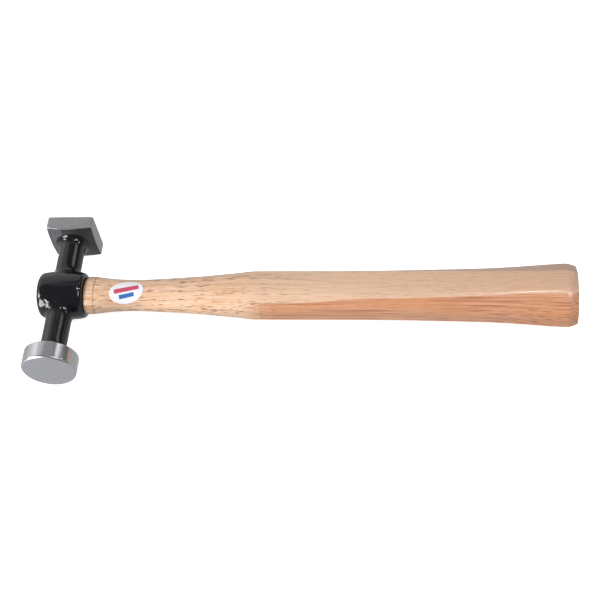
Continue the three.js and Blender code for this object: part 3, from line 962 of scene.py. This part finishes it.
# %% Floor
floor_paint, tree, bsdf = new_material("white_floor")
bsdf.inputs["Base Color"].default_value = (0.9, 0.9, 0.9, 1)
bsdf.inputs["Roughness"].default_value = 0.9
bsdf.inputs["Emission Color"].default_value = (1, 1, 1, 1)
bsdf.inputs["Emission Strength"].default_value = 0.75
floor_half, floor_gap = 4.0, 0.0005
floor_mesh = bmesh.new()
bmesh.ops.create_grid(floor_mesh, x_segments=1, y_segments=1, size=floor_half)
floor_data = bpy.data.meshes.new("floor")
floor_mesh.to_mesh(floor_data)
floor_mesh.free()
floor_data.materials.append(floor_paint)
floor = bpy.data.objects.new("floor", floor_data)
bpy.context.scene.collection.objects.link(floor)
floor.location.z = cad_box[LOW][Z] - floor_gap
floor.visible_glossy = floor.visible_diffuse = False
print("floor at", round(floor.location.z, 4))

# %% [markdown]
# The lamps are soft boxes, each facing the hammer's zero from an azimuth, an elevation and a
# distance. Gloss paint and ground steel show what stands round them, while wood shows only how much
# light falls on it, so the two jobs are split. A card is only seen in reflections, and is placed
# where the paint or the steel would mirror it. A key only gives light, and isn't mirrored. One lamp
# does both. Strength is per area, so a lamp can change its size and keep its brightness.

# %% Lamp helper
def lamp(name, azimuth, elevation, distance, width, height, strength):
    light = bpy.data.lights.new(name, "AREA")
    light.shape = "RECTANGLE"
    light.size, light.size_y = width, height
    light.energy = strength * width * height * math.pi
    holder = bpy.data.objects.new(name, light)
    turn = (Matrix.Rotation(math.radians(azimuth), 4, "Z")
            @ Matrix.Rotation(math.radians(90 - elevation), 4, "X"))
    holder.matrix_world = Matrix.Translation(zero) @ turn @ Matrix.Translation((0, 0, distance))
    holder.visible_camera = False
    bpy.context.scene.collection.objects.link(holder)
    return holder


def card(*settings):
    lamp(*settings).visible_diffuse = False


def key(*settings):
    lamp(*settings).visible_glossy = False

# %% Lamps
# name, azimuth, elevation, distance, width, height, strength
card("back_panel", 218, 25, 1.3, 3.1, 1.45, 0.70)
card("top_panel", 185, 68, 1.3, 1.1, 0.45, 0.3)
card("left_strip", -124, 25, 1.3, 0.20, 0.66, 0.7)
card("right_strip", 132, 35, 1.3, 0.24, 0.62, 1.9)
card("first_bead", 95, 77, 1.3, 0.06, 0.06, 150.0)
card("second_bead", 100, 27, 1.3, 0.06, 0.06, 150.0)
card("front_card", -39, 10, 1.1, 0.40, 0.46, 14.0)
card("side_card", -76, 28, 1.1, 0.34, 0.42, 13.0)
key("left_key", -66, 50, 1.1, 0.4, 0.4, 17.5)
key("front_lamp", -39, 9, 1.1, 0.32, 0.40, 17.0)
lamp("right_key", 60, 50, 1.3, 0.5, 0.5, 8.0)
print("lamps:", len(bpy.data.lights))

# %% [markdown]
# The room round the table is two greys, dim above and brighter below, as over a white table: the
# hammer's upper sides mirror the dim part and its under sides the bright one. The camera itself
# sees a pale backdrop, which the Light Path node swaps in for its own rays and no others.

# %% Room
world = bpy.data.worlds.new("studio")
bpy.context.scene.world = world
world.use_nodes = True
sky = world.node_tree
dim_above, bright_below, backdrop = (0.14, 0.145, 0.15), (0.6, 0.61, 0.62), (0.9, 0.9, 0.9)
up = node(sky, "SeparateXYZ", {0: node(sky, "TexCoord").outputs["Generated"]}).outputs["Z"]
room = mix_colour(sky, remap(sky, up, 0.05, -0.15), dim_above, bright_below)
seen = node(sky, "LightPath").outputs["Is Camera Ray"]
sky.links.new(mix_colour(sky, seen, room, backdrop), sky.nodes["Background"].inputs["Color"])
bpy.context.scene.view_settings.view_transform = "Standard"
print("room nodes:", len(sky.nodes))

# %% [markdown]
# The camera looks down on the hammer from the round face's side, with a slight roll, so that the
# handle lies almost level across the view. It is turned about a point on the handle, and then moved
# back along its own axis. Depth of field stays off.

# %% Camera
camera_data = bpy.data.cameras.new("camera")
camera_data.lens, camera_data.sensor_width = 78.0, 36.0
camera_data.clip_start = 0.01
camera = bpy.data.objects.new("camera", camera_data)
bpy.context.scene.collection.objects.link(camera)
look_at = zero + Vector((0.151512, -0.003564, 0))
heading, elevation, roll, camera_distance = 12.113, 55.794, -10.086, 0.805712
turn = (Matrix.Rotation(math.radians(heading), 4, "Z")
        @ Matrix.Rotation(math.radians(90 - elevation), 4, "X")
        @ Matrix.Rotation(math.radians(roll), 4, "Z"))
camera.matrix_world = (Matrix.Translation(look_at) @ turn
                       @ Matrix.Translation((0, 0, camera_distance)))
bpy.context.scene.camera = camera
print("camera at", camera.matrix_world.translation)
